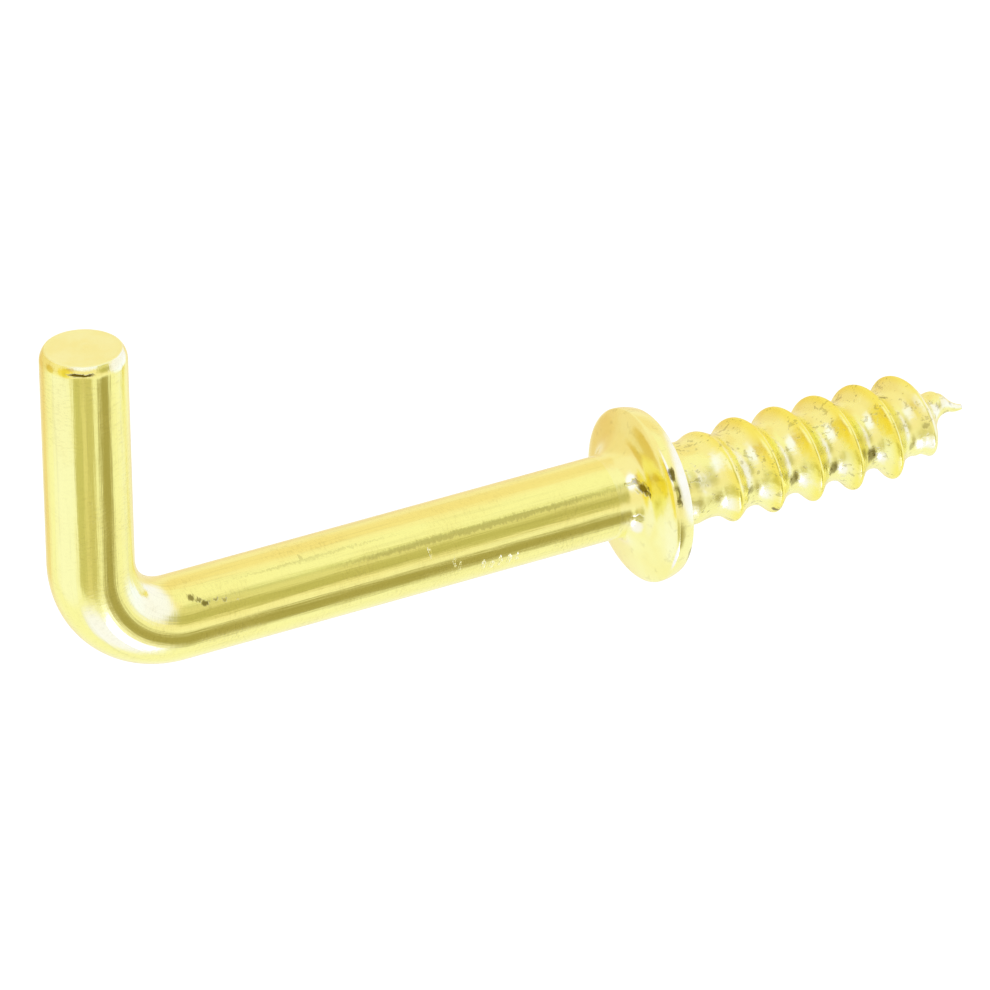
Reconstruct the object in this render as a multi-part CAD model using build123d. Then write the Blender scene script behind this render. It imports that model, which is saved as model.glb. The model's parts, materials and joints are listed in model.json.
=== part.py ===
from build123d import *
from math import atan2, ceil, cos, degrees, radians, sin, tan
import os

# Square shouldered hook, formed in one piece from round wire: an upright leg, a tight bend,
# a straight shank, an upset shoulder collar and a rolled wood-screw thread.
# The origin is the middle of the shoulder's flat back, where it meets the wall.
# +Y runs along the screw into the wall and +Z up along the leg. Millimetres.

# wire, leg, bend and shank
wire_dia = 3.15           # round wire
reach = 23.05             # wall face to the leg's axis, measured along the shank's axis
leg_height = 11.85        # shank's axis to the leg's free end
bend_radius = 3.29        # on the wire's centreline
leg_lean = 0.8            # degrees that the leg leans out from square, away from the wall
end_round_depth = 0.5     # length of the leg's end that is rounded over
end_round_width = 0.2     # how far that rounding comes in from the wire's surface

# shoulder collar, upset from the wire by dies that sit slightly low
die_offset = 0.27         # collar's and screw's axis below the shank's axis
collar_dia = 6.58
collar_thickness = 1.22   # wall face to the crown of the dome
dome_height = 0.57        # crown of the dome to where the collar is widest
dome_flat_dia = 1.07      # flat middle that the dome's curve starts from
rim_round_width = 0.15    # how far the rim curves in from its widest to the wall face
shank_fillet = 0.45       # between the shank and the dome

# screw
screw_length = 13.35      # wall face to the tip
neck_dia = 3.1            # core where it leaves the wall face
neck_flare = 0.25         # cone between the wall face and the core, as wide as it is long
core_end_dia = 2.52       # core where the point starts
point_length = 2.4        # start of the point to the tip
nib_length = 1.25         # slim last part of the point
nib_dia = 1.0             # where the nib starts
tip_dia = 0.36            # blunt end of the nib
thread_dia = 3.8          # over the crests
thread_pitch = 1.717
crest_width = 0.3         # flat that the rolled crest is left with
valley_width = 0.265      # bare core between two turns, where the point starts
crest_phase = 5.75        # wall face to a crest that points straight up
run_in_start = 0.6        # wall face to where the thread rises from the core
run_in_length = 2.8       # over which it rises to full height
run_out_lead = 0.35       # full crests stop this far short of the point's start
run_out_length = 2.0      # from there to where the closing crest stops
run_out_dia = 2.0         # over the crest where it stops
bare_nib = 0.9            # nib past the flat that the thread is cut off to
root_cover = 0.1          # how far the ridge's root is sunk below the core where the point starts
bury = 0.04               # how far the crest is sunk into the core where the ridge starts
turns_per_run = 3         # most turns of full thread that are swept in one go

wire_r = wire_dia / 2
collar_r = collar_dia / 2
thread_r = thread_dia / 2
point_start = screw_length - point_length


def bent_wire():
    """Leg, bend and shank: a round section swept along one centreline."""
    turn = 90 - leg_lean
    corner = Vector(0, -reach, die_offset)
    along_leg = Vector(0, -sin(radians(leg_lean)), cos(radians(leg_lean)))
    setback = bend_radius * tan(radians(turn) / 2)
    leg_start = corner + along_leg * setback
    shank_start = corner + Vector(0, setback, 0)
    leg_stop = corner + along_leg * (leg_height - end_round_depth)
    shank_stop = Vector(0, -collar_thickness / 2, die_offset)
    leg = Edge.make_line(leg_stop, leg_start)
    bend = Edge.make_tangent_arc(leg_start, -along_leg, shank_start)
    shank = Edge.make_line(shank_start, shank_stop)
    section = Plane(origin=leg_stop, z_dir=-along_leg, x_dir=(1, 0, 0)) * Circle(wire_r)
    wire = sweep(section, path=Wire([leg, bend, shank]))
    return wire + leg_end(leg_stop, along_leg)


def leg_end(base, direction):
    """Free end of the leg: a flat face whose edge is rounded over."""
    flat_r = wire_r - end_round_width
    outline = [
        Line((0, 0), (wire_r, 0)),
        TangentArc((wire_r, 0), (flat_r, end_round_depth), tangent=(0, 1)),
        Line((flat_r, end_round_depth), (0, end_round_depth)),
        Line((0, end_round_depth), (0, 0)),
    ]
    half = Plane.XZ * make_face(outline)
    cap = revolve(half, axis=Axis.Z)
    return Plane(origin=base, z_dir=direction, x_dir=(1, 0, 0)) * cap


def shoulder_and_core():
    """Domed collar, flat wall face and the screw's tapering core, turned about the screw's axis."""
    rim_depth = collar_thickness - dome_height
    dome_in = dome_flat_dia / 2
    neck_r = neck_dia / 2
    crown = (0, -collar_thickness)
    dome_edge = (-dome_in, -collar_thickness)
    widest = (-collar_r, -rim_depth)
    face_out = (rim_round_width - collar_r, 0)
    face_in = (-neck_r - neck_flare, 0)
    neck = (-neck_r, neck_flare)
    point = (-core_end_dia / 2, point_start)
    nib = (-nib_dia / 2, screw_length - nib_length)
    tip_edge = (-tip_dia / 2, screw_length)
    tip = (0, screw_length)
    dome = ((-dome_in, -rim_depth), collar_r - dome_in, dome_height)
    outline = [
        Line(crown, dome_edge),
        EllipticalCenterArc(*dome, start_angle=180, arc_size=90),
        TangentArc(widest, face_out, tangent=(0, 1)),
        Line(face_out, face_in),
        Line(face_in, neck),
        Line(neck, point),
        Line(point, nib),
        Line(nib, tip_edge),
        Line(tip_edge, tip),
        Line(tip, crown),
    ]
    return revolve(make_face(outline), axis=Axis.Y)


def soften_shank_root(body):
    """Fillet all round where the shank flares into the dome."""
    band = body.edges().filter_by_position(Axis.Y, -collar_thickness, dome_height - collar_thickness)
    root = band.sort_by(lambda edge: abs(edge.center().X))[0]
    return fillet(root, shank_fillet)


def ridge_section():
    """Thread's V with a narrow crest at the origin, pointing to +X, on a root with straight sides."""
    height = thread_r - core_end_dia / 2
    base = height + root_cover
    half_crest = crest_width / 2
    half_root = (thread_pitch - valley_width) / 2
    upper_side = [(0, half_crest), (-height, half_root), (-base, half_root)]
    lower_side = [(-base, -half_root), (-height, -half_root), (0, -half_crest)]
    return make_face(Polyline(*upper_side, *lower_side, close=True))


def ridge(length, end_r):
    """Ridge that starts at full height on +X and runs up +Z while its crest closes on end_r."""
    cone = degrees(atan2(end_r - thread_r, length))
    slant_pitch = thread_pitch / cos(radians(cone))
    path = Edge.make_helix(slant_pitch, length, thread_r, angle=cone)
    place = Plane(origin=(thread_r, 0, 0), x_dir=(1, 0, 0), z_dir=(0, -1, 0))
    return Solid.sweep((place * ridge_section()).face(), path, is_frenet=True)


def at_thread(distance):
    """Frame on the screw's axis, its X pointing at the crest at that distance from the wall face."""
    turn = radians(360 * (distance - crest_phase) / thread_pitch)
    return Plane(origin=(0, distance, 0), x_dir=(sin(turn), 0, cos(turn)), z_dir=(0, 1, 0))


def core_r(distance):
    """Radius of the core's straight taper at a distance from the wall face."""
    share = (distance - neck_flare) / (point_start - neck_flare)
    return (neck_dia + (core_end_dia - neck_dia) * share) / 2


def full_ridge(start, end):
    """Ridge at full height between two distances from the wall face, in equal runs."""
    count = ceil((end - start) / thread_pitch / turns_per_run)
    length = (end - start) / count
    run = ridge(length, thread_r)
    return [at_thread(start + number * length) * run for number in range(count)]


def thread():
    """Right-hand ridge: it rises from the core, stays full, then closes on the point."""
    full_start = run_in_start + run_in_length
    full_end = point_start - run_out_lead
    run_in = ridge(run_in_length, core_r(run_in_start) - bury)
    run_out = at_thread(full_end) * ridge(run_out_length, run_out_dia / 2)
    cut_off = Plane(origin=(0, screw_length - bare_nib, 0), z_dir=(0, 1, 0))
    return [
        at_thread(full_start) * Rot(X=180) * run_in,
        *full_ridge(full_start, full_end),
        split(run_out, bisect_by=cut_off, keep=Keep.BOTTOM),
    ]


def hook():
    """The whole hook as one solid."""
    body = soften_shank_root(shoulder_and_core() + bent_wire())
    for run in thread():
        body = body + run
    return body


os.makedirs("parts", exist_ok=True)
export_step(hook(), "parts/hook.step")
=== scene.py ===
"""Looks of a square shouldered hook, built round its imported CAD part.

The hook is one piece of metal, so it is shown as one closed skin. Its rings run from the free end of the
leg, round the bend, along the shank, over the shoulder collar and down the wood screw to its tip.
Sizes are in millimetres and are turned into metres when the skin is made.
"""

import json
import logging
import math
from dataclasses import dataclass, field
from enum import Enum

import bpy
import numpy as np
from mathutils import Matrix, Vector


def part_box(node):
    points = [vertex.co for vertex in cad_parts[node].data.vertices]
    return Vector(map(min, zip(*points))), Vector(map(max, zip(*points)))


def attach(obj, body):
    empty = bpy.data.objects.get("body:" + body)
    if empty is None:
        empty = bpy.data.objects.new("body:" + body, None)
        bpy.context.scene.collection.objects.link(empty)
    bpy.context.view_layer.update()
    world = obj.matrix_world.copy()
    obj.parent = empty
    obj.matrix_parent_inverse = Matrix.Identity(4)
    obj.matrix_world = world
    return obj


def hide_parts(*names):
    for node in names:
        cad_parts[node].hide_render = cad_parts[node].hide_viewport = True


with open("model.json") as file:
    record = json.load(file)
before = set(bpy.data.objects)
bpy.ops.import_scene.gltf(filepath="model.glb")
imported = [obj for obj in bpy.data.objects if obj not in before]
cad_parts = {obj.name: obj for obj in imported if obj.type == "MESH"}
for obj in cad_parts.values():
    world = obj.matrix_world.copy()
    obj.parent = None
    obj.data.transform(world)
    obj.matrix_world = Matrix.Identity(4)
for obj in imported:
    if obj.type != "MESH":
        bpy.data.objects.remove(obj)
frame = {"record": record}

MM = 0.001
NODE = "hook"
BODY = "root"
AROUND = 144  # points in a ring
SPACE = "straightened"  # the skin's attribute that says where a spot is on the straightened wire
SIDEWAYS = np.array([1.0, 0.0, 0.0])  # to the hook's right side

Colour = tuple[float, float, float]
Point = tuple[float, float, float]
Pair = tuple[float, float]

log = logging.getLogger("hook")


class Surface(Enum):
    """Stretches of the hook by how their metal was formed. The value is the material's place."""

    SHEARED_END = 0
    DRAWN_WIRE = 1
    UPSET_COLLAR = 2
    ROLLED_SCREW = 3


# ---------------------------------------------------------------- shader maths


class Signal:
    """One output socket, with the arithmetic that shader maths needs."""

    def __init__(self, board: "Board", socket: bpy.types.NodeSocket) -> None:
        """Keeps the board that the socket's node stands on, and the socket."""
        self.board = board
        self.socket = socket

    def _math(self, operation: str, *values: "Signal | float") -> "Signal":
        """Adds one Math node.

        Args:
            operation: what the Math node does.
            values: its inputs in order.

        Returns:
            The node's output.
        """
        return self.board.node("ShaderNodeMath", {"operation": operation}, dict(enumerate(values)))

    def __add__(self, other: "Signal | float") -> "Signal":
        """Sum with a signal or number."""
        return self._math("ADD", self, other)

    __radd__ = __add__

    def __sub__(self, other: "Signal | float") -> "Signal":
        """This signal less another."""
        return self._math("SUBTRACT", self, other)

    def __rsub__(self, other: "Signal | float") -> "Signal":
        """A number less this signal."""
        return self._math("SUBTRACT", other, self)

    def __mul__(self, other: "Signal | float") -> "Signal":
        """Product with a signal or number."""
        return self._math("MULTIPLY", self, other)

    __rmul__ = __mul__

    def __truediv__(self, other: "Signal | float") -> "Signal":
        """This signal over another."""
        return self._math("DIVIDE", self, other)

    def at_least(self, floor: float) -> "Signal":
        """This signal, held at or above a floor."""
        return self._math("MAXIMUM", self, floor)

    def above(self, limit: float) -> "Signal":
        """One where this signal is above the limit, and nothing elsewhere."""
        return self._math("GREATER_THAN", self, limit)

    def rise(self, low: float, high: float) -> "Signal":
        """A smooth step.

        Args:
            low: where the step leaves zero.
            high: where it reaches one.

        Returns:
            The step, from zero to one.
        """
        settings = {"interpolation_type": "SMOOTHSTEP"}
        sockets = {"Value": self, "From Min": low, "From Max": high}
        return self.board.node("ShaderNodeMapRange", settings, sockets, "Result")


class Board:
    """A node tree that parts are laid on, one call a node."""

    def __init__(self, owner: bpy.types.Material | bpy.types.World) -> None:
        """Clears the node tree of a material or world.

        Args:
            owner: the material or world.
        """
        owner.use_nodes = True
        self.tree = owner.node_tree
        self.tree.nodes.clear()

    def node(self, kind: str, settings: dict, sockets: dict, output: str | int = 0) -> Signal:
        """Adds a node.

        Args:
            kind: the node's type.
            settings: its properties, set first.
            sockets: a value or a Signal for each input, by name or place.
            output: the output that is wanted, by name or place.

        Returns:
            That output.
        """
        made = self.tree.nodes.new(kind)
        for name, value in settings.items():
            setattr(made, name, value)
        for name, value in sockets.items():
            if isinstance(value, Signal):
                self.tree.links.new(value.socket, made.inputs[name])
            else:
                made.inputs[name].default_value = value
        return Signal(self, made.outputs[output] if made.outputs else None)

    def mix(
        self, share: Signal | float, low: Signal | Colour, high: Signal | Colour, blend: str = "MIX"
    ) -> Signal:
        """Blends two colours.

        Args:
            share: how much of the second colour shows.
            low: the first colour.
            high: the second colour.
            blend: "MIX" to lay the second over the first, or "MULTIPLY" to tint the first with it.

        Returns:
            The blend.
        """
        settings = {"data_type": "RGBA", "blend_type": blend}
        low, high = (c if isinstance(c, Signal) else (*c, 1.0) for c in (low, high))
        return self.node("ShaderNodeMix", settings, {0: share, 6: low, 7: high}, 2)

    def vector(
        self, operation: str, first: Signal, second: Signal | Point, output: str = "Vector"
    ) -> Signal:
        """Adds one Vector Math node.

        Args:
            operation: what the node does.
            first: its first input.
            second: its second input.
            output: "Vector", or "Value" for a dot product.

        Returns:
            The chosen output.
        """
        return self.node("ShaderNodeVectorMath", {"operation": operation}, {0: first, 1: second}, output)

    def dot(self, first: Signal, second: Vector) -> Signal:
        """Dot product with a fixed vector."""
        return self.vector("DOT_PRODUCT", first, tuple(second), "Value")

    def length(self, vector: Signal) -> Signal:
        """Length of a vector."""
        return self.node("ShaderNodeVectorMath", {"operation": "LENGTH"}, {0: vector}, "Value")


# ---------------------------------------------------------------- finishes


@dataclass(frozen=True)
class Grain:
    """A noise pattern over the straightened wire.

    Attributes:
        across: repeats round the wire for each spacing.
        along: repeats along the wire for each spacing.
        detail: octaves of the noise.
        roughness: how strong its finer octaves are.
    """

    across: float
    along: float
    detail: float
    roughness: float = 0.55

    def lay(self, board: Board, space: Signal, spacing: float = 1.0, output: str = "Fac") -> Signal:
        """Lays the pattern.

        Args:
            board: where the nodes go.
            space: position along and round the wire.
            spacing: the pattern's size, in millimetres.
            output: "Fac" for a number or "Color" for three.

        Returns:
            The noise, about a half on average.
        """
        across = self.across / spacing
        stretched = board.vector("MULTIPLY", space, (across, self.along / spacing, across))
        sockets = {"Vector": stretched, "Scale": 1.0, "Detail": self.detail, "Roughness": self.roughness}
        return board.node("ShaderNodeTexNoise", {"noise_dimensions": "3D"}, sockets, output)


DRAWN_LINES = Grain(1.0, 0.035, 4.0)
CHATTER = Grain(1.0, 2.2, 3.0)
WAVES = Grain(1.0, 0.8, 2.0)
FINE_FLECKS = Grain(1.0, 0.7, 5.0)
CROWDS = Grain(1.1, 0.9, 2.0)
WORN_PATCHES = Grain(0.7, 0.35, 3.0)
SHAKE = Grain(3.5, 9.0, 3.0, 0.6)
SHAKE_REACH = (0.35, 0.3, 0.35)  # widest swing of a mark's outline, in millimetres
SPOT_EDGE = (0.5, 1.1)  # where a mark starts to fade and where it is gone, in shares of its half size


@dataclass(frozen=True)
class Mark:
    """A nick, pit or stained spot on the plated metal, or a dark spot of painted shade.

    Attributes:
        along: distance from the wall face, in millimetres. It is below nought on the wire and collar.
        angle: degrees from the top towards the hook's right side.
        length: how long it is along the metal.
        width: how wide it is round the metal.
        depth: how deep it is. Below nought it stands proud.
        darkness: how dark it is, as real staining on some marks and as painted shade on others. From one
            on, none of the plate's colour shows.
        radius: how far it is from the axis.
    """

    along: float
    angle: float
    length: float
    width: float
    depth: float = 0.01
    darkness: float = 0.0
    radius: float = 1.575

    def spot(self, board: Board, ragged: Signal, wall_face: float) -> Signal:
        """Where the mark is.

        Args:
            board: where the nodes go.
            ragged: position on the straightened wire, shaken.
            wall_face: place of the wall face on the straightened wire.

        Returns:
            One on the mark, falling to nothing at its edge.
        """
        turn = math.radians(self.angle)
        side, up = self.radius * math.sin(turn), self.radius * math.cos(turn)
        away = board.vector("SUBTRACT", ragged, (side, wall_face + self.along, up))
        sized = board.vector("MULTIPLY", away, (2 / self.width, 2 / self.length, 2 / self.width))
        return 1 - board.length(sized).rise(*SPOT_EDGE)


@dataclass(frozen=True)
class BrassPlate:
    """Bright brass plate, with the marks of how the steel under it was formed, and some painted shade and
    reflection.

    Depths, spacings and radii are in millimetres. An edge is a pair of noise levels between which a
    pattern fades in. Stains and shares are from nought to one.

    Attributes:
        name: the material's.
        tone: the plate's colour.
        warm_tone: its colour in the worn patches, as far as warm_share.
        roughness: the smoothest that it gets.
        rougher: the roughest that it gets, by rough_patches where it is worn and else by drawn lines.
        line_depth: drawn lines along the wire, with line_spacing, line_stain and line_edge.
        chatter_depth: fine ridges round the wire, with chatter_spacing. Outside the worn patches only
            chatter_left of them is left.
        hatch_stain: how dark the chatter's ridges are, with hatch_edge and hatch_left.
        wave_depth: gentle unevenness, with wave_spacing.
        fleck_stain: small ragged flecks, with fleck_spacing, fleck_depth and fleck_edge. They are more
            frequent by fleck_crowding where crowd_edge is passed.
        stain_and_shade_tone: the colour of real staining and of painted shade.
        crest_reflection_share: how much of crest_reflection_tone, a painted reflection in deeper yellow,
            a thread's crest has, from radius crest_foot to crest_top.
        marks: its nicks, pits and stained spots, and dark spots of painted shade.
    """

    name: str
    tone: Colour = (0.975, 0.945, 0.35)
    warm_tone: Colour = (0.965, 0.90, 0.31)
    warm_share: float = 0.6
    patch_edge: Pair = (0.38, 0.66)
    roughness: float = 0.10
    rougher: float = 0.20
    rough_patches: float = 0.55
    line_depth: float = 0.0
    line_spacing: float = 0.16
    line_stain: float = 0.0
    line_edge: Pair = (0.50, 0.72)
    chatter_depth: float = 0.0
    chatter_spacing: float = 0.22
    chatter_left: float = 0.35
    hatch_stain: float = 0.0
    hatch_edge: Pair = (0.45, 0.75)
    hatch_left: float = 0.3
    wave_depth: float = 0.0
    wave_spacing: float = 1.3
    fleck_stain: float = 0.0
    fleck_spacing: float = 0.22
    fleck_depth: float = 0.0
    fleck_edge: Pair = (0.64, 0.72)
    fleck_crowding: float = 0.12
    crowd_edge: Pair = (0.40, 0.70)
    stain_and_shade_tone: Colour = (0.16, 0.12, 0.01)
    # painted reflection: the deeper yellow laid on the thread's crests
    crest_reflection_tone: Colour = (0.98, 0.88, 0.13)
    crest_reflection_share: float = 0.0
    crest_foot: float = 1.55
    crest_top: float = 1.86
    marks: tuple[Mark, ...] = ()

    def material(self, wall_face: float) -> bpy.types.Material:
        """Makes the node-based material.

        Args:
            wall_face: place of the wall face on the straightened wire.

        Returns:
            The material, ready for a mesh's slot.
        """
        made = bpy.data.materials.new(self.name)
        board = Board(made)
        space = board.node("ShaderNodeAttribute", {"attribute_name": SPACE}, {}, "Vector")
        patches = WORN_PATCHES.lay(board, space).rise(*self.patch_edge)
        lines = DRAWN_LINES.lay(board, space, self.line_spacing)
        chatter = CHATTER.lay(board, space, self.chatter_spacing)
        hatch = chatter.rise(*self.hatch_edge)
        wave = WAVES.lay(board, space, self.wave_spacing)
        flecks = self._flecks(board, space)
        height = (
            lines * self.line_depth
            + chatter * self.chatter_depth * self._mostly_in(patches, self.chatter_left)
            + wave * self.wave_depth
            - flecks * self.fleck_depth
        )
        stains_and_shade = (
            flecks * self.fleck_stain
            + hatch * self.hatch_stain * self._mostly_in(patches, self.hatch_left)
            + lines.rise(*self.line_edge) * self.line_stain
        )
        ragged = self._ragged(board, space) if self.marks else space
        # some marks are real nicks and staining, others dark spots of painted shade
        for mark in self.marks:
            spot = mark.spot(board, ragged, wall_face)
            height = height - spot * mark.depth
            stains_and_shade = stains_and_shade + spot * mark.darkness
        uneven = self.rough_patches * patches + (1 - self.rough_patches) * lines
        relief = {"Strength": 1.0, "Distance": MM, "Height": height}
        sockets = {
            "Base Color": self._colour(board, space, patches, stains_and_shade),
            "Metallic": 1.0,
            "Roughness": self.roughness + (self.rougher - self.roughness) * uneven,
            "Normal": board.node("ShaderNodeBump", {}, relief, "Normal"),
        }
        shader = board.node("ShaderNodeBsdfPrincipled", {}, sockets)
        board.node("ShaderNodeOutputMaterial", {}, {"Surface": shader})
        return made

    @staticmethod
    def _mostly_in(patches: Signal, left: float) -> Signal:
        """One in the worn patches, and only what is left outside them."""
        return left + (1 - left) * patches

    def _colour(self, board: Board, space: Signal, patches: Signal, stains_and_shade: Signal) -> Signal:
        """Colour of the plate under its staining and painted shade.

        Args:
            board: where the nodes go.
            space: position along and round the wire.
            patches: the worn patches.
            stains_and_shade: how dark the staining and painted shade are.

        Returns:
            The colour.
        """
        tone = board.mix(patches * self.warm_share, self.tone, self.warm_tone)
        # painted reflection: the thread's crests tinted deeper yellow
        if self.crest_reflection_share:
            tone = board.mix(self._crest(board, space) * self.crest_reflection_share, tone, self.crest_reflection_tone)
        # real staining and painted shade share one dark colour
        return board.mix(stains_and_shade, tone, self.stain_and_shade_tone)

    def _flecks(self, board: Board, space: Signal) -> Signal:
        """Small ragged flecks, crowded in some places and missing in others.

        Args:
            board: where the nodes go.
            space: position along and round the wire.

        Returns:
            One on a fleck and nothing elsewhere.
        """
        fine = FINE_FLECKS.lay(board, space, self.fleck_spacing)
        crowd = CROWDS.lay(board, space).rise(*self.crowd_edge)
        return (fine + self.fleck_crowding * crowd).rise(*self.fleck_edge)

    def _crest(self, board: Board, space: Signal) -> Signal:
        """Nothing in the thread's valley and one on its crest, where a painted reflection deepens the
        yellow.
        """
        radius = board.length(board.vector("MULTIPLY", space, (1.0, 0.0, 1.0)))
        return radius.rise(self.crest_foot, self.crest_top)

    @staticmethod
    def _ragged(board: Board, space: Signal) -> Signal:
        """Shakes the position on the wire a little, so that marks get ragged edges.

        Args:
            board: where the nodes go.
            space: position along and round the wire.

        Returns:
            The shaken position.
        """
        shake = SHAKE.lay(board, space, output="Color")
        centred = board.vector("SUBTRACT", shake, (0.5, 0.5, 0.5))
        return board.vector("ADD", board.vector("MULTIPLY", centred, SHAKE_REACH), space)


FINISHES: dict[Surface, BrassPlate] = {
    Surface.SHEARED_END: BrassPlate(
        "brass_on_sheared_end",
        tone=(0.99, 1.0, 0.52),
        warm_tone=(0.98, 0.93, 0.38),
        roughness=0.3,
        rougher=0.45,
        wave_depth=0.03,
        wave_spacing=0.5,
        chatter_depth=0.006,
    ),
    Surface.DRAWN_WIRE: BrassPlate(
        "brass_on_drawn_wire",
        line_depth=0.009,
        chatter_depth=0.0035,
        chatter_spacing=0.2,
        wave_depth=0.012,
        hatch_stain=0.13,
        line_stain=0.08,
        marks=(
            # nicks along the shank
            Mark(-10.09, 66, 0.12, 0.5, 0.012),
            Mark(-9.13, 88, 0.12, 0.5, 0.012),
            Mark(-8.9, 97, 0.12, 0.4, 0.012),
            Mark(-7.9, 106, 0.12, 0.5, 0.012),
            Mark(-7.55, 109, 0.14, 0.4, 0.012),
            Mark(-7.2, 107, 0.12, 0.6, 0.012),
            Mark(-6.85, 109, 0.14, 0.5, 0.012),
            Mark(-6.5, 107, 0.12, 0.5, 0.012),
            # flecks where the bend ends
            Mark(-19.6, 39, 0.35, 0.35, 0.003, 0.8),
            Mark(-19.35, 44, 0.3, 0.25, 0.003, 0.7),
            Mark(-19.15, 51, 0.4, 0.25, 0.003, 0.8),
            Mark(-18.7, 49, 0.2, 0.15, 0.003, 0.5),
            Mark(-18.4, 53, 0.25, 0.18, 0.003, 0.45),
            Mark(-17.9, 56, 0.15, 0.12, 0.003, 0.4),
            Mark(-15.0, 24, 0.12, 0.3, 0.0, 0.25),
            # die lines along the shank, then a dark line on the leg's end, a painted reflection of a dark
            # gap, over a shallow dent
            Mark(-8.0, 51, 13.5, 0.30, 0.001, 0.30),
            Mark(-14.5, 30, 8.0, 0.16, 0.001, 0.18),
            Mark(-33.27, 121, 0.16, 1.1, 0.02, 1.3),
        ),
    ),
    Surface.UPSET_COLLAR: BrassPlate(
        "brass_on_upset_collar",
        tone=(0.98, 0.955, 0.42),
        roughness=0.12,
        rougher=0.24,
        chatter_depth=0.002,
        wave_depth=0.02,
        wave_spacing=0.9,
        fleck_spacing=0.3,
        fleck_stain=0.10,
        marks=(
            # shallow pits by the shank's root, darkened as a painted reflection of a dark gap, then
            # painted shade on the rim
            Mark(-0.80, 58, 0.5, 0.5, 0.02, 0.9, 2.0),
            Mark(-0.90, 49, 0.35, 0.3, 0.02, 0.5, 1.9),
            Mark(-0.72, 65, 0.3, 0.3, 0.02, 0.7, 2.08),
            Mark(-1.1, 96, 0.3, 0.4, 0.01, 0.3, 1.7),
            Mark(0.52, 51, 0.16, 0.65, 0.0, 0.9, 3.29),
            Mark(0.54, 66, 0.13, 1.0, 0.0, 0.75, 3.29),
            Mark(1.02, 112, 0.20, 0.9, 0.0, 0.55, 3.2),
        ),
    ),
    Surface.ROLLED_SCREW: BrassPlate(
        "brass_on_rolled_screw",
        tone=(0.98, 0.955, 0.37),
        warm_tone=(0.98, 0.92, 0.34),
        roughness=0.22,
        rougher=0.34,
        line_depth=0.001,
        chatter_depth=0.003,
        wave_depth=0.03,
        wave_spacing=0.5,
        fleck_spacing=0.17,
        fleck_crowding=0.14,
        fleck_stain=0.32,
        fleck_depth=0.004,
        # painted reflection: deeper yellow on the crests
        crest_reflection_share=0.85,
        marks=(
            # dark spots of painted shade in the valleys, then single flecks
            Mark(3.38, 93, 0.35, 0.45, 0.0, 0.55, 1.50),
            Mark(5.26, 97, 0.5, 0.65, 0.0, 0.65, 1.42),
            Mark(7.00, 100, 0.45, 0.65, 0.0, 0.75, 1.37),
            Mark(8.64, 95, 0.5, 0.75, 0.0, 0.8, 1.34),
            Mark(10.44, 102, 0.3, 0.4, 0.0, 0.45, 1.28),
            Mark(4.54, 134, 0.35, 0.35, 0.0, 0.9, 1.84),
            Mark(9.90, -1, 0.5, 0.25, 0.01, 0.6, 1.31),
            Mark(10.94, 69, 0.3, 0.4, 0.01, 0.4, 1.54),
            Mark(12.76, 42, 0.2, 0.15, 0.0, 0.4, 0.25),
        ),
    ),
}


# ---------------------------------------------------------------- rings


def ring_angles() -> np.ndarray:
    """Angles of a ring's points, from the top towards the hook's right side."""
    return np.arange(AROUND) * (2 * math.pi / AROUND)


def smooth(share: np.ndarray | float) -> np.ndarray:
    """Smooth step of a share that is first held between nought and one."""
    held = np.clip(share, 0, 1)
    return held * held * (3 - 2 * held)


def all_round(values: np.ndarray) -> np.ndarray:
    """One value a ring, repeated for the ring's points."""
    return np.repeat(values[:, None], AROUND, axis=1)


def even_steps(length: float, step: float) -> np.ndarray:
    """Even steps along a length, without its start.

    Args:
        length: the length.
        step: the longest that a step may be.

    Returns:
        Distances from the start.
    """
    return np.linspace(0, length, math.ceil(length / step) + 1)[1:]


def tangent_arc(radius: float, width: float, depth: float, count: int) -> tuple[np.ndarray, np.ndarray]:
    """Arc that closes in from a cylinder's side to its end face.

    Args:
        radius: the cylinder's.
        width: how far the arc comes in.
        depth: how far along the cylinder it takes.
        count: points on it.

    Returns:
        Radii, and distances from the end face, from the face to the side.
    """
    turn = 2 * math.atan2(width, depth)
    bow = depth / math.sin(turn)
    angles = np.linspace(turn, 0, count)
    return radius - bow * (1 - np.cos(angles)), depth - bow * np.sin(angles)


def ease_corner(before: Pair, corner: Pair, after: Pair, count: int) -> list[Pair]:
    """Points of a curve that rounds a corner.

    Args:
        before: where the curve starts.
        corner: the corner that it rounds.
        after: where it ends.
        count: points on it.

    Returns:
        The points, with both ends.
    """
    shares = np.linspace(0, 1, count)[:, None]
    start, middle, stop = (np.array(spot) for spot in (before, corner, after))
    curve = (1 - shares) ** 2 * start + 2 * shares * (1 - shares) * middle + shares**2 * stop
    return [tuple(spot) for spot in curve]


@dataclass
class Run:
    """Rings along the metal that share one finish.

    Attributes:
        points: rings by points by three, in millimetres.
        space: the same points with the wire straightened, for the finish's patterns.
        surface: how this stretch was formed.
    """

    points: np.ndarray
    space: np.ndarray
    surface: Surface


def about_axis(radius: np.ndarray, along: np.ndarray) -> np.ndarray:
    """Points round a straight axis, which is the screw's or the straightened wire's.

    Args:
        radius: distance of each point from the axis, rings by points.
        along: distance of each point along it, rings by points.

    Returns:
        Rings by points by three.
    """
    angles = ring_angles()
    return np.stack([radius * np.sin(angles), along, radius * np.cos(angles)], axis=2)


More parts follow.
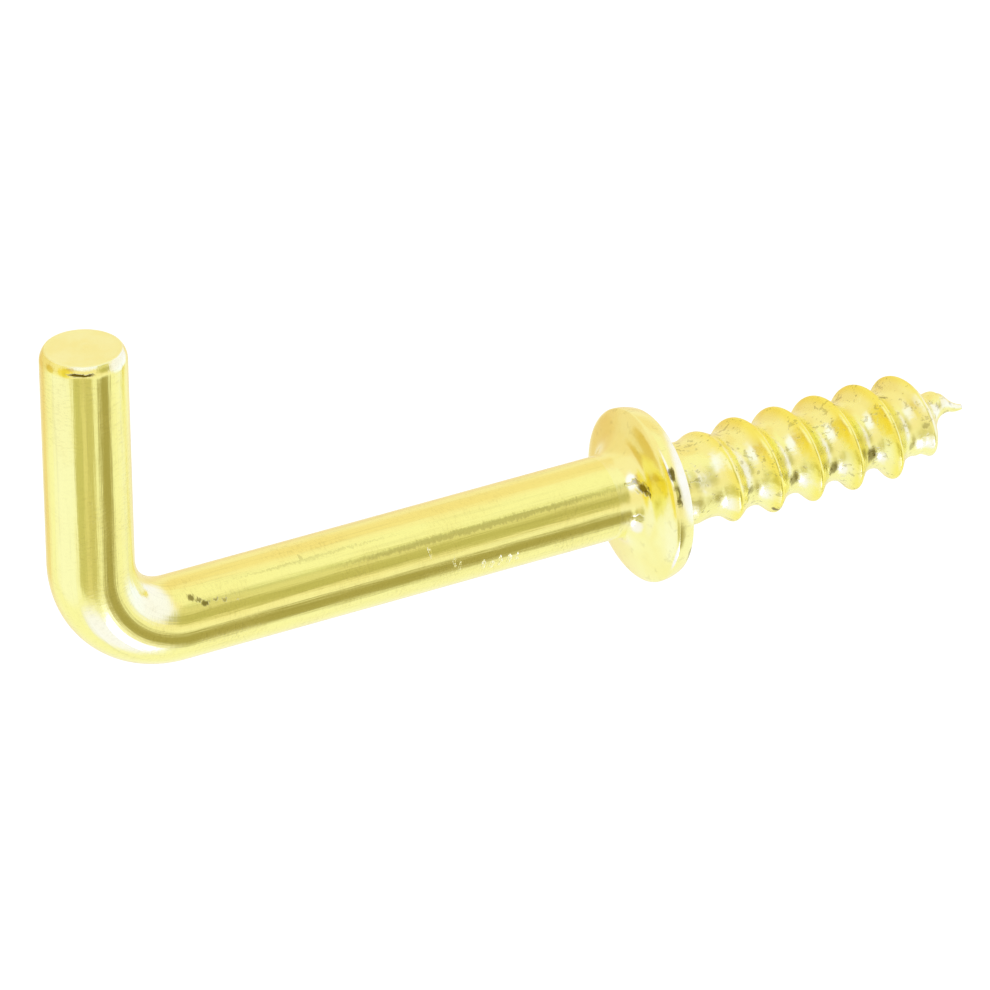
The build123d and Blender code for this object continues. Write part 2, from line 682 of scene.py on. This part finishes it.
@dataclass
class BentWire:
    """Leg, bend and shank of round wire.

    Attributes:
        radius: the wire's.
        reach: wall face to the leg's axis.
        leg_height: shank's axis to the leg's free end.
        rise: shank's axis above the screw's.
        lean: angle that the leg leans out from square.
        bend_radius: on the wire's centreline.
        end_depth: length of the leg's end that is rounded over.
        end_width: how far that rounding comes in.
        end_dish: how deep the end face is dished.
        dish_sway: share of the dish that comes and goes twice in a turn.
        dish_turn: angle by which that is turned.
        end_ease: how much of the end face is eased over its edge.
        face_shares: first and last ring of the flat face, as shares of its radius.
        face_rings: rings of the face. Its edge has ease_rings, and the rounding under it round_rings.
        shank_stop: where the collar's fillet takes over.
        leg_step: greatest distance between rings on the leg. On the bend it is bend_step, and on the
            shank shank_step.
    """

    radius: float
    reach: float
    leg_height: float
    rise: float = 0.27
    lean: float = math.radians(0.8)
    bend_radius: float = 3.29
    end_depth: float = 0.5
    end_width: float = 0.2
    end_dish: float = 0.03
    dish_sway: float = 0.4
    dish_turn: float = 0.7
    end_ease: float = 0.09
    face_shares: Pair = (0.04, 0.9)
    face_rings: int = 11
    ease_rings: int = 7
    round_rings: int = 9
    shank_stop: float = -2.2
    leg_step: float = 0.36
    bend_step: float = 0.1
    shank_step: float = 0.12

    @classmethod
    def from_frame(cls) -> "BentWire":
        """Reads the wire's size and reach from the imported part.

        Returns:
            The wire, as long and as thick as the part's.
        """
        mounts = {mount["name"]: mount for mount in frame["record"]["mounts"]}
        radius = mounts["upright_leg"]["dims"]["r_mm"]
        low, high = (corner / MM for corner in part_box(NODE))
        wire = cls(radius=radius, reach=0.0, leg_height=0.0)
        flat = radius - wire.end_width
        wire.leg_height = (high.z - wire.rise - flat * math.sin(wire.lean)) / math.cos(wire.lean)
        top = wire.leg_height - wire.end_depth
        wire.reach = -low.y - radius * math.cos(wire.lean) - top * math.sin(wire.lean)
        return wire

    @property
    def turn(self) -> float:
        """Angle that the bend turns through, less than square by the leg's lean."""
        return math.pi / 2 - self.lean

    @property
    def setback(self) -> float:
        """Corner of the two axes to either end of the bend."""
        return self.bend_radius * math.tan(self.turn / 2)

    @property
    def leg_length(self) -> float:
        """Straight part of the leg, under its rounded end."""
        return self.leg_height - self.end_depth - self.setback

    @property
    def bend_start(self) -> float:
        """Distance along the wire from the leg's free end to the bend."""
        return self.end_depth + self.leg_length

    @property
    def bend_end(self) -> float:
        """Distance along the wire from the leg's free end to the shank."""
        return self.bend_start + self.bend_radius * self.turn

    @property
    def leg_inward(self) -> np.ndarray:
        """Direction from the leg towards the wall, square to the leg."""
        return np.array([0.0, math.cos(self.lean), math.sin(self.lean)])

    def runs(self) -> list[Run]:
        """Rings of the end face, its rounding, and the wire down to the collar.

        Returns:
            The runs in order.
        """
        return [*self._end(), self._wire()]

    def _down_leg(self) -> tuple[np.ndarray, np.ndarray]:
        """Where the leg starts.

        Returns:
            Its free end on its axis, and the direction down the leg.
        """
        down = np.array([0.0, math.sin(self.lean), -math.cos(self.lean)])
        corner = np.array([0.0, -self.reach, self.rise])
        return corner - down * self.leg_height, down

    def _end(self) -> list[Run]:
        """The sheared end: a slightly dished face and its rounded edge.

        Returns:
            Its rings, from near the middle outwards.
        """
        top, down = self._down_leg()
        flat = self.radius - self.end_width
        side_radii, side_drops = tangent_arc(
            self.radius, self.end_width, self.end_depth, self.round_rings
        )
        first_side = (side_radii[1], side_drops[1])
        eased = ease_corner((flat - self.end_ease, 0.0), (flat, 0.0), first_side, self.ease_rings)
        face = [(flat * share, 0.0) for share in np.linspace(*self.face_shares, self.face_rings)]
        outline = np.array(face + eased)
        radii = np.concatenate([outline[:, 0], side_radii[2:]])
        drops = np.concatenate([outline[:, 1], side_drops[2:]])
        angles = ring_angles()
        spread = (radii[:, None] / flat).clip(0, 1)
        sway = self.dish_sway * np.sin(angles[None, :] * 2 + self.dish_turn)
        drop = drops[:, None] + self.end_dish * (1 - spread**2) * (1 - self.dish_sway + sway)
        spokes = np.sin(angles)[:, None] * SIDEWAYS + np.cos(angles)[:, None] * self.leg_inward
        points = top + radii[:, None, None] * spokes[None] + drop[:, :, None] * down
        radius = all_round(radii)
        along = drop - (self.radius - radius)
        space = about_axis(radius, along)
        sheared = len(outline)
        return [
            Run(points[:sheared], space[:sheared], Surface.SHEARED_END),
            Run(points[sheared:], space[sheared:], Surface.DRAWN_WIRE),
        ]

    def _wire(self) -> Run:
        """Leg, bend and shank on one line.

        Returns:
            Their rings, without the last ring of the end.
        """
        top, down = self._down_leg()
        shank_start = -self.reach + self.setback
        leg = even_steps(self.leg_length, self.leg_step)
        arc = even_steps(self.turn * self.bend_radius, self.bend_step) / self.bend_radius
        shank = even_steps(self.shank_stop - shank_start, self.shank_step)

        heading = np.concatenate([0 * leg, arc, 0 * shank + self.turn]) - self.turn
        inward = np.stack([0 * heading, -np.sin(heading), np.cos(heading)], axis=1)
        hub = top + down * self.bend_start + self.leg_inward * self.bend_radius
        on_leg = top + down * (self.end_depth + leg[:, None])
        in_bend = hub - self.bend_radius * inward[len(leg) : len(leg) + len(arc)]
        on_shank = np.stack([0 * shank, shank_start + shank, 0 * shank + self.rise], axis=1)
        centres = np.concatenate([on_leg, in_bend, on_shank])
        along = np.concatenate(
            [self.end_depth + leg, self.bend_start + self.bend_radius * arc, self.bend_end + shank]
        )
        angles = ring_angles()
        across = np.sin(angles)[None, :, None] * SIDEWAYS
        spokes = across + np.cos(angles)[None, :, None] * inward[:, None, :]
        points = centres[:, None, :] + self.radius * spokes
        radius = np.full(points.shape[:2], self.radius)
        return Run(points, about_axis(radius, all_round(along)), Surface.DRAWN_WIRE)

    def along_at(self, distance: float) -> float:
        """Distance from the leg's free end of a place on the shank.

        Args:
            distance: the place's distance from the wall face.

        Returns:
            The distance along the wire.
        """
        return self.bend_end + distance + self.reach - self.setback


@dataclass
class ShoulderCollar:
    """Domed collar with a rounded rim and a flat wall face, on the screw's axis.

    Attributes:
        radius: the collar's.
        wire: the shank that enters its dome.
        thickness: wall face to the crown of the dome.
        dome_height: crown of the dome to where the collar is widest.
        dome_flat: radius of the flat middle that the dome's curve starts from.
        round_width: how far the rim curves in from its widest to the wall face.
        face_ease: how much of the wall face is eased into the rim.
        fillet: width of the fillet at the shank's root.
        fillet_extra: how much wider it is on one side.
        fillet_side: angle of that side from the top.
        neck_radius: of the screw's core, past the flare.
        neck_flare: cone between the wall face and the core, as wide as it is long.
        flare_shares: places of the flare's rings.
        fillet_rings: rings of the fillet. The dome has dome_rings, the rim rim_rings, its eased edge
            ease_rings and the wall face face_rings.
    """

    radius: float
    wire: BentWire
    thickness: float = 1.22
    dome_height: float = 0.57
    dome_flat: float = 0.535
    round_width: float = 0.15
    face_ease: float = 0.08
    fillet: float = 0.65
    fillet_extra: float = 0.2
    fillet_side: float = math.radians(-60)
    neck_radius: float = 1.55
    neck_flare: float = 0.25
    flare_shares: tuple[float, ...] = (0.33, 0.67, 1.0)
    fillet_rings: int = 13
    dome_rings: int = 34
    rim_rings: int = 12
    ease_rings: int = 6
    face_rings: int = 8

    @property
    def rim_depth(self) -> float:
        """Wall face to where the collar is widest."""
        return self.thickness - self.dome_height

    def runs(self) -> list[Run]:
        """Rings from the shank's root, over the dome and rim, to the neck.

        Returns:
            The runs in order.
        """
        return [self._dome(), self._rim_and_face()]

    def _dome(self) -> Run:
        """Fillet and dome, which widen from the shank's circle to the rim's.

        Returns:
            Their rings.
        """
        angles = ring_angles()
        circle = np.stack([np.sin(angles), np.cos(angles)])
        shank = self.wire.radius * circle + np.array([[0.0], [self.wire.rise]])
        rim = self.radius * circle
        gap = np.linalg.norm(rim - shank, axis=0)
        around = np.cos(angles - self.fillet_side).clip(0) ** 2
        fillet = self.fillet + self.fillet_extra * around
        curl = np.linspace(0, math.pi / 2, self.fillet_rings)[:, None]
        beyond = np.sin(np.linspace(0, math.pi / 2, self.dome_rings)[1:])[:, None]
        off = np.concatenate([fillet * (1 - np.cos(curl)), fillet + (gap - fillet) * beyond])
        share = (off / gap)[:, None]
        flat = shank * (1 - share) + rim * share
        out = np.linalg.norm(flat, axis=1)
        slope = ((out - self.dome_flat) / (self.radius - self.dome_flat)).clip(0, 1)
        dome = -self.rim_depth - self.dome_height * np.sqrt(1 - slope**2)
        inside = (fillet - off).clip(0)
        y = dome - (fillet - np.sqrt(fillet**2 - inside**2))
        points = np.stack([flat[:, 0], y, flat[:, 1]], axis=2)
        along = self.wire.along_at(0.0) - self.thickness + (out - self.wire.radius)
        return Run(points, about_axis(out, along), Surface.UPSET_COLLAR)

    def _rim_and_face(self) -> Run:
        """Rim, the flat wall face and the neck's flare.

        Returns:
            Their rings.
        """
        face_out = self.radius - self.round_width
        face_in = self.neck_radius + self.neck_flare
        rim_radii, rim_depths = tangent_arc(self.radius, self.round_width, self.rim_depth, self.rim_rings)
        rim = [(r, -d) for r, d in zip(rim_radii[:0:-1], rim_depths[:0:-1])][1:]
        eased_in = face_out - self.face_ease
        eased = ease_corner(rim.pop(), (face_out, 0.0), (eased_in, 0.0), self.ease_rings)
        face = [(r, 0.0) for r in np.linspace(eased_in, face_in, self.face_rings)[1:]]
        flare = [
            (face_in - self.neck_flare * share, self.neck_flare * share) for share in self.flare_shares
        ]
        radii, y = np.array(rim + eased + face + flare).T
        path = np.concatenate([[0], np.hypot(np.diff(radii), np.diff(y)).cumsum()])
        along = self.wire.along_at(0.0) + self.radius - self.wire.radius - self.thickness + path
        radius = all_round(radii)
        points, space = (about_axis(radius, all_round(places)) for places in (y, along))
        return Run(points, space, Surface.UPSET_COLLAR)


@dataclass
class WoodScrew:
    """Rolled wood-screw thread on a tapering core.

    Attributes:
        length: wall face to the tip.
        wire: the wire that it was rolled from.
        collar: the collar that it leaves.
        core_end: radius of the core where the point starts.
        point_length: start of the point to the tip.
        nib_shape: distances from the tip, and the nib's radius at each.
        tip_closing: shares of the tip's radius that the last rings have, to close its blunt end.
        crest_radius: of the full thread.
        pitch: one turn of the thread.
        crest_phase: wall face to a crest that points straight up.
        crest_half: half of the crest's rounding, in turns.
        root_half: crest to where the flank ends, in turns.
        root_share: height of the hollow valley's edge, as a share of the thread's.
        run_in_start: wall face to where the thread rises from the core.
        run_in_length: over which it rises to full height.
        run_in_depth: how far it is sunk into the core where it starts.
        run_out: distances from the tip, and the crest's radius at each.
        step: greatest distance between rings.
        sag: how far the bent axis droops, over the first sag_length.
        nib_lift: how far the nib rises, nib_lift_at from the tip and over about nib_lift_width.
    """

    length: float
    wire: BentWire
    collar: ShoulderCollar
    core_end: float = 1.26
    point_length: float = 2.4
    nib_shape: tuple[Pair, ...] = ((1.25, 0.5), (0.9, 0.4), (0.55, 0.23), (0.0, 0.1))
    tip_closing: Pair = (0.6, 0.2)
    crest_radius: float = 1.9
    pitch: float = 1.717
    crest_phase: float = 5.75
    crest_half: float = 0.08
    root_half: float = 0.26
    root_share: float = 0.26
    run_in_start: float = 0.6
    run_in_length: float = 2.8
    run_in_depth: float = 0.04
    run_out: tuple[Pair, ...] = ((2.75, 1.9), (1.75, 1.45), (1.05, 0.5))
    step: float = 0.045
    sag: float = -0.1
    sag_length: float = 5.0
    nib_lift: float = 0.39
    nib_lift_at: float = 0.97
    nib_lift_width: float = 0.535

    def runs(self) -> list[Run]:
        """Rings of the screw from the neck to its blunt tip.

        Returns:
            The one run.
        """
        start = self.collar.neck_flare
        y = start + even_steps(self.length - start, self.step)
        closing = np.concatenate([np.ones_like(y), self.tip_closing])
        y = np.concatenate([y, np.full(len(self.tip_closing), self.length)])
        radius = self._radius(y[:, None], ring_angles()[None, :]) * closing[:, None]
        points = about_axis(radius, all_round(y))
        points[:, :, 2] += self._axis_height(y)[:, None]
        along = all_round(self.wire.along_at(0.0) + self.radius_gain() + y)
        return [Run(points, about_axis(radius, along), Surface.ROLLED_SCREW)]

    def radius_gain(self) -> float:
        """Extra way over the collar that the straightened wire's length counts."""
        return 2 * (self.collar.radius - self.wire.radius)

    def _core(self, y: np.ndarray) -> np.ndarray:
        """Radius of the core.

        Args:
            y: distance from the wall face.

        Returns:
            The radius at each.
        """
        stations = [self.collar.neck_flare, self.length - self.point_length]
        radii = [self.collar.neck_radius, self.core_end]
        for from_tip, radius in self.nib_shape:
            stations.append(self.length - from_tip)
            radii.append(radius)
        return np.interp(y, stations, radii)

    def _crest(self, y: np.ndarray) -> np.ndarray:
        """Radius of the crest.

        Args:
            y: distance from the wall face.

        Returns:
            The radius at each, and nought where there is no thread.
        """
        stations = [self.run_in_start, self.run_in_start + self.run_in_length]
        radii = [float(self._core(np.array(self.run_in_start))) - self.run_in_depth, self.crest_radius]
        for from_tip, radius in self.run_out:
            stations.append(self.length - from_tip)
            radii.append(radius)
        return np.interp(y, stations, radii, left=0.0, right=0.0)

    def _radius(self, y: np.ndarray, angles: np.ndarray) -> np.ndarray:
        """Radius of the threaded surface.

        Args:
            y: distance from the wall face.
            angles: angle from the top towards the right side.

        Returns:
            The radius for each pair.
        """
        turns = (y - self.crest_phase) / self.pitch - angles / (2 * math.pi)
        off_crest = np.abs(turns - np.round(turns))
        fall = (1 - self.root_share) / (self.root_half - self.crest_half / 2)
        crest = 1 - fall * off_crest**2 / (2 * self.crest_half)
        flank = 1 - fall * (off_crest - self.crest_half / 2)
        valley = self.root_share * ((0.5 - off_crest) / (0.5 - self.root_half)).clip(0) ** 2
        below = np.where(off_crest < self.root_half, flank, valley)
        ridge = np.where(off_crest < self.crest_half, crest, below)
        core = self._core(y)
        return core + (self._crest(y) - core).clip(0) * ridge

    def _axis_height(self, y: np.ndarray) -> np.ndarray:
        """Height of the screw's slightly bent axis.

        Args:
            y: distance from the wall face.

        Returns:
            The height at each.
        """
        sag = self.sag * smooth(y / self.sag_length)
        from_lift = (y - self.length + self.nib_lift_at) / self.nib_lift_width
        lift = self.nib_lift * np.exp(-(from_lift**2))
        return sag + lift


@dataclass
class SquareShoulderedHook:
    """The whole hook as one closed skin."""

    wire: BentWire
    collar: ShoulderCollar
    screw: WoodScrew
    finishes: dict[Surface, BrassPlate] = field(default_factory=lambda: FINISHES)

    @classmethod
    def from_frame(cls) -> "SquareShoulderedHook":
        """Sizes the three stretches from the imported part.

        Returns:
            The hook, ready to build.
        """
        _, high = (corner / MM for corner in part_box(NODE))
        wire = BentWire.from_frame()
        collar = ShoulderCollar(radius=high.x, wire=wire)
        return cls(wire, collar, WoodScrew(length=high.y, wire=wire, collar=collar))

    def build(self) -> bpy.types.Object:
        """Builds, dresses and seats the hook.

        Returns:
            The piece.
        """
        runs = [*self.wire.runs(), *self.collar.runs(), *self.screw.runs()]
        points = np.concatenate([run.points for run in runs])
        space = np.concatenate([run.space for run in runs])
        places = np.concatenate([np.full(len(run.points), run.surface.value) for run in runs])
        mesh = self._skin(points, space, places)
        piece = bpy.data.objects.new("hook_skin", mesh)
        bpy.context.scene.collection.objects.link(piece)
        wall_face = self.wire.along_at(0.0)
        past_collar = {Surface.ROLLED_SCREW: self.screw.radius_gain()}
        for surface in Surface:
            finish = self.finishes[surface]
            mesh.materials.append(finish.material(wall_face + past_collar.get(surface, 0.0)))
        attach(piece, BODY)
        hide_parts(NODE)
        return piece

    def _skin(self, points: np.ndarray, space: np.ndarray, places: np.ndarray) -> bpy.types.Mesh:
        """Joins the rings and closes both ends.

        Args:
            points: rings by points by three, in millimetres.
            space: the same points on the straightened wire.
            places: each ring's material place.

        Returns:
            The mesh, in metres.
        """
        spots, patterns = self._with_hubs(points) * MM, self._with_hubs(space)
        sides = [(a, (a + 1) % AROUND) for a in range(AROUND)]
        end = (len(points) - 1) * AROUND
        first_hub = end + AROUND
        last_hub = first_hub + 1
        faces: list[tuple[int, ...]] = []
        for near in range(0, end, AROUND):
            far = near + AROUND
            faces += [(near + a, near + b, far + b, far + a) for a, b in sides]
        faces += [(first_hub, b, a) for a, b in sides]
        faces += [(last_hub, end + a, end + b) for a, b in sides]
        owners = np.repeat([*places[1:], places[0], places[-1]], AROUND).tolist()
        mesh = bpy.data.meshes.new("hook_skin")
        mesh.from_pydata([tuple(spot) for spot in spots], [], faces)
        mesh.polygons.foreach_set("material_index", owners)
        mesh.polygons.foreach_set("use_smooth", [True] * len(faces))
        held = mesh.attributes.new(SPACE, "FLOAT_VECTOR", "POINT")
        held.data.foreach_set("vector", patterns.astype(np.float32).ravel())
        mesh.update()
        return mesh

    @staticmethod
    def _with_hubs(rings: np.ndarray) -> np.ndarray:
        """Rings as one list of points, then the middles of the first and last ring."""
        return np.concatenate([rings.reshape(-1, 3), [rings[0].mean(axis=0), rings[-1].mean(axis=0)]])


# ---------------------------------------------------------------- studio


NEARLY_BESIDE = 0.06  # cosine of the angle from a patch's middle past which nothing of it shows


@dataclass(frozen=True)
class Patch:
    """A soft-edged oval patch of the light tent, given by where it stands as seen from the hook.

    Attributes:
        bearing: degrees from +X towards +Y.
        height: degrees above the horizon.
        half_width: half its width, in degrees.
        half_height: half its height, in degrees.
        softness: how much of its half size its soft edge takes, inwards and outwards.
        tint: what it makes of the tent's light. Below one is a gap, above one a lamp's glow.
    """

    bearing: float
    height: float
    half_width: float
    half_height: float
    softness: float
    tint: Colour

    def mask(self, board: Board, direction: Signal) -> Signal:
        """Where the patch stands.

        Args:
            board: the world's board.
            direction: the way that is looked.

        Returns:
            One on the patch and nothing elsewhere.
        """
        b, h = math.radians(self.bearing), math.radians(self.height)
        ahead = Vector((math.cos(b) * math.cos(h), math.sin(b) * math.cos(h), math.sin(h)))
        side = Vector((-math.sin(b), math.cos(b), 0.0))
        width, tall = (math.tan(math.radians(half)) for half in (self.half_width, self.half_height))
        forward = board.dot(direction, ahead)
        near = forward.at_least(NEARLY_BESIDE)
        across = board.dot(direction, side / width) / near
        upward = board.dot(direction, ahead.cross(side) / tall) / near
        out = across * across + upward * upward
        edge = out.rise((1 - self.softness) ** 2, (1 + self.softness) ** 2)
        return (1 - edge) * forward.above(NEARLY_BESIDE)


@dataclass
class LightTent:
    """White tent round the hook, with the gaps and lamps that its metal shows.

    Attributes:
        white: what the camera sees, and the tent's foot.
        upper: the tent's upper part.
        upper_edge: sines of the heights between which white turns into upper.
        room: the light on what isn't a mirror.
        patches: the gaps and lamps, each laid over the last.
    """

    white: Colour = (1.0, 1.0, 1.0)
    upper: Colour = (0.98, 0.90, 0.80)
    upper_edge: Pair = (-0.45, 0.1)
    room: Colour = (0.8, 0.8, 0.8)
    patches: tuple[Patch, ...] = (
        # cream walls, which the dome and the leg's outline show
        Patch(-152, 8, 36, 32, 0.4, (0.94, 0.87, 0.74)),
        Patch(165, -20, 45, 24, 0.5, (0.95, 0.86, 0.74)),
        Patch(-166, -22, 16, 10, 0.5, (0.95, 0.86, 0.68)),
        # a yellow card and its shaded corner, seen in the thread's near flanks and the rim
        Patch(-76, 8, 18, 25, 0.3, (0.96, 0.86, 0.20)),
        Patch(-66, 31, 11, 9, 0.4, (0.78, 0.70, 0.75)),
        # an ochre gap beside it, seen in the dome
        Patch(-121, -4, 14, 13, 0.3, (0.83, 0.72, 0.34)),
        # lamps: over the thread, inside the bend and outside it
        Patch(-24, 50, 30, 20, 0.3, (1.05, 1.20, 2.8)),
        Patch(80, 8, 38, 30, 0.35, (1.035, 1.155, 2.8)),
        Patch(-25, -66, 23, 17, 0.4, (1.015, 1.04, 2.3)),
        # pale strips, seen down the leg's outer side and along the shank
        Patch(-92, -34, 24, 14, 0.5, (1.01, 1.03, 1.35)),
        Patch(66, 60, 28, 13, 0.5, (1.01, 1.09, 1.15)),
        # the warm glow along the shank's top
        Patch(138, 40, 17, 15, 0.5, (0.97, 0.91, 0.78)),
        # the leg's broad olive stripe, darker at both edges
        Patch(-32, -27, 24, 13, 0.25, (0.78, 0.72, 0.50)),
        Patch(-46, -28, 8, 12, 0.6, (0.79, 0.81, 0.68)),
        Patch(-16, -28, 7, 12, 0.6, (0.80, 0.80, 0.69)),
        # the shank's upper stripe, darker at its foot and faint at its top
        Patch(30, 27, 15, 24, 0.25, (0.80, 0.82, 0.67)),
        Patch(27, 14, 14, 10, 0.8, (0.70, 0.69, 0.50)),
        Patch(36, 42, 9, 4, 0.5, (0.92, 0.94, 0.92)),
        # the dark stripe along the whole wire, and the glow that narrows it on the bend
        Patch(25, -37, 15, 18, 0.45, (0.42, 0.37, 0.18)),
        Patch(13, -50, 12, 12, 0.25, (2.2, 2.4, 5.0)),
    )

    def pitch(self) -> None:
        """Makes the world that camera and metal see white, and that lights the floor softly."""
        world = bpy.data.worlds.new("light_tent")
        bpy.context.scene.world = world
        board = Board(world)
        direction = board.node("ShaderNodeTexCoord", {}, {}, "Generated")
        height = board.dot(direction, Vector((0.0, 0.0, 1.0)))
        tent = board.mix(height.rise(*self.upper_edge), self.white, self.upper)
        for patch in self.patches:
            tent = board.mix(patch.mask(board, direction), tent, patch.tint, "MULTIPLY")
        seen = board.node("ShaderNodeLightPath", {}, {}, "Is Camera Ray")
        rays = seen.socket.node.outputs
        mirrored = Signal(board, rays["Is Glossy Ray"]) + Signal(board, rays["Is Transmission Ray"])
        colour = board.mix(seen, board.mix(mirrored, self.room, tent), self.white)
        shader = board.node("ShaderNodeBackground", {}, {"Color": colour, "Strength": 1.0})
        board.node("ShaderNodeOutputWorld", {}, {"Surface": shader})


@dataclass
class Floor:
    """Plain pale floor below the hook, which keeps the hook's shadow.

    Attributes:
        depth: how far it lies below the hook's lowest point, in metres.
        size: its width and length, in metres.
        paint: its colour.
        glow: what is added to it for the camera.
    """

    depth: float = 0.03
    size: float = 6.0
    paint: Colour = (0.86, 0.86, 0.86)
    glow: Colour = (0.2, 0.2, 0.2)

    def lay(self) -> bpy.types.Object:
        """Builds and paints the floor.

        Returns:
            The floor.
        """
        low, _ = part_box(NODE)
        half = self.size / 2
        height = low.z - self.depth
        around = ((-half, -half), (half, -half), (half, half), (-half, half))
        corners = [(x, y, height) for x, y in around]
        mesh = bpy.data.meshes.new("floor")
        mesh.from_pydata(corners, [], [(0, 1, 2, 3)])
        mesh.materials.append(self._paint())
        floor = bpy.data.objects.new("floor", mesh)
        floor.visible_glossy = False
        bpy.context.scene.collection.objects.link(floor)
        return floor

    def _paint(self) -> bpy.types.Material:
        """Matt white, which the camera sees a little brighter so that it joins the white tent.

        Returns:
            The floor's material.
        """
        made = bpy.data.materials.new("floor_paint")
        board = Board(made)
        seen = board.node("ShaderNodeLightPath", {}, {}, "Is Camera Ray")
        glow = board.mix(seen, (0.0, 0.0, 0.0), self.glow)
        sockets = {
            "Base Color": (*self.paint, 1.0),
            "Roughness": 1.0,
            "Specular IOR Level": 0.0,
            "Emission Color": glow,
            "Emission Strength": 1.0,
        }
        shader = board.node("ShaderNodeBsdfPrincipled", {}, sockets)
        board.node("ShaderNodeOutputMaterial", {}, {"Surface": shader})
        return made


@dataclass
class SoftLamp:
    """Large soft lamp over the hook.

    Attributes:
        place: its middle, in metres.
        size: its diameter, in metres.
        power: in watts.
    """

    place: Point = (-0.1, -0.15, 0.5)
    size: float = 0.5
    power: float = 1.2

    def hang(self) -> bpy.types.Object:
        """Hangs the lamp, pointing at the hook.

        Returns:
            The lamp.
        """
        data = bpy.data.lights.new("soft_lamp", "AREA")
        data.shape = "DISK"
        data.size = self.size
        data.energy = self.power
        lamp = bpy.data.objects.new("soft_lamp", data)
        lamp.location = self.place
        lamp.rotation_mode = "QUATERNION"
        lamp.rotation_quaternion = (-Vector(self.place)).to_track_quat("-Z", "Y")
        lamp.visible_glossy = False
        bpy.context.scene.collection.objects.link(lamp)
        return lamp


@dataclass
class Viewpoint:
    """Long lens on the hook.

    Attributes:
        azimuth: degrees round the hook. At nought it looks along +Y.
        elevation: degrees above the horizon.
        distance: to the point that it aims at, in metres.
        lens: focal length, in millimetres.
        sensor: width of the film, in millimetres.
        clip: nearest and furthest that is shown, in metres.
        aim: the point that it aims at.
    """

    azimuth: float = 60.326
    elevation: float = 28.988
    distance: float = 0.381025
    lens: float = 382.07
    sensor: float = 36.0
    clip: Pair = (0.01, 20.0)
    aim: Point = (0.0, -0.0065666, 0.0016287)

    def place(self) -> bpy.types.Object:
        """Places the camera.

        Returns:
            The camera.
        """
        a, e = math.radians(self.azimuth), math.radians(self.elevation)
        back = Vector((math.sin(a) * math.cos(e), -math.cos(a) * math.cos(e), math.sin(e)))
        data = bpy.data.cameras.new("viewpoint")
        data.lens = self.lens
        data.sensor_width = self.sensor
        data.clip_start, data.clip_end = self.clip
        camera = bpy.data.objects.new("viewpoint", data)
        camera.location = Vector(self.aim) + back * self.distance
        camera.rotation_mode = "QUATERNION"
        camera.rotation_quaternion = (-back).to_track_quat("-Z", "Y")
        bpy.context.scene.collection.objects.link(camera)
        bpy.context.scene.camera = camera
        return camera


def main() -> None:
    """Builds the hook and its studio."""
    logging.basicConfig(level=logging.INFO, format="%(name)s: %(message)s")
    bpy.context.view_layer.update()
    piece = SquareShoulderedHook.from_frame().build()
    log.info("%s: %d faces", piece.name, len(piece.data.polygons))
    LightTent().pitch()
    floor = Floor().lay()
    log.info("%s at %.4f m", floor.name, floor.data.vertices[0].co.z)
    SoftLamp().hang()
    Viewpoint().place()
    bpy.context.scene.view_settings.view_transform = "Standard"


if __name__ == "__main__":
    main()
